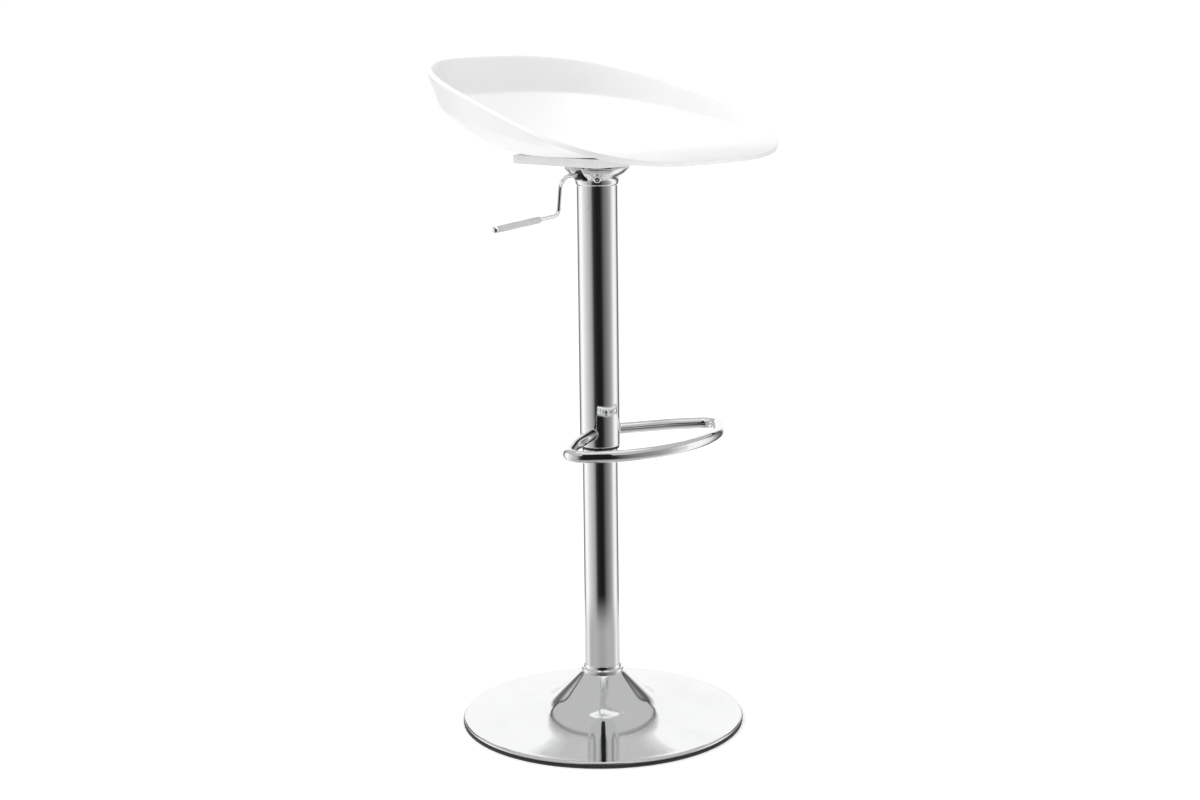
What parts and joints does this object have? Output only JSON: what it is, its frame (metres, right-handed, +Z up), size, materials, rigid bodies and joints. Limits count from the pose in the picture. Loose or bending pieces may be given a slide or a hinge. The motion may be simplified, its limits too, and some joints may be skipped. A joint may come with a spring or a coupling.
{
  "type": "adjustable swivel stool",
  "caption": "Height-adjustable swivel bar stool: scoop seat on a telescoping column with welded footrest loop, release lever and round weighted base.",
  "frame": {"origin": "on the floor under the middle of the column", "axes": "+Z up along the column, the sitter faces -Y, the release lever is on the sitter's right at -X"},
  "size_m": [0.4326, 0.4414, 0.9351],
  "materials": {
    "chrome": "polished chrome plate",
    "white_shell": "glossy moulded ABS",
    "satin_grip": "finely knurled satin metal",
    "painted_plate": "grey satin paint",
    "black_plastic": "matt",
    "rubber": "matt",
    "plated_steel": "zinc plated",
    "black_steel": "black paint",
    "cast_weight": "rough painted",
    "brass": "turned"
  },
  "bodies": {
    "base": {"base_shell": "chrome", "rubber_ring": "rubber", "base_weight": "cast_weight", "weight_spacer": "rubber", "foot_plate": "plated_steel", "foot_bolts": "plated_steel", "column_trim": "chrome", "column_tube": "chrome", "guide_bush": "black_plastic", "race_lower": "plated_steel"},
    "bearing": {"bearing_balls": "plated_steel", "ball_cage": "black_plastic"},
    "spindle": {"race_upper": "plated_steel", "rod_buffer": "rubber", "piston_rod": "plated_steel", "rod_clip": "plated_steel", "rod_washer": "plated_steel", "piston": "plated_steel"},
    "carriage": {"rod_guide": "black_plastic", "lift_tube": "black_steel", "sleeve_tube": "chrome", "sleeve_bush": "black_plastic", "footrest": "chrome", "sleeve_collar": "chrome", "lift_socket": "black_steel", "collar_screws": "chrome", "mounting_plate": "painted_plate", "seat_bolts": "plated_steel", "seat_inserts": "brass", "seat_shell": "white_shell"},
    "lever": {"lever_rod": "chrome", "lever_grip": "satin_grip", "grip_cap": "chrome", "lever_bush": "black_plastic"},
    "button": {"release_button": "plated_steel"}
  },
  "joints": [
    {"name": "seat_swivel", "type": "hinge", "parent": "base", "child": "spindle", "pos_m": [0, 0, 0.02], "axis": [0, 0, 1], "continuous": true},
    {"name": "bearing_roll", "type": "hinge", "parent": "base", "child": "bearing", "pos_m": [0, 0, 0.02], "axis": [0, 0, 1], "continuous": true},
    {"name": "seat_lift", "type": "slide", "parent": "spindle", "child": "carriage", "axis": [0, 0, 1], "range_m": [-0.21, 0]},
    {"name": "lever_pull", "type": "hinge", "parent": "carriage", "child": "lever", "pos_m": [-0.033, 0, 0.779], "axis": [0, 1, 0], "range_deg": [0, 6], "stiffness_Nm_per_rad": 3},
    {"name": "button_press", "type": "slide", "parent": "carriage", "child": "button", "axis": [0, 0, -1], "range_m": [0, 0.0036]}
  ],
  "couplings": [
    {"joint": "bearing_roll", "follows": "seat_swivel", "ratio": 0.5},
    {"joint": "button_press", "follows": "lever_pull", "m_per_rad": 0.03247}
  ]
}
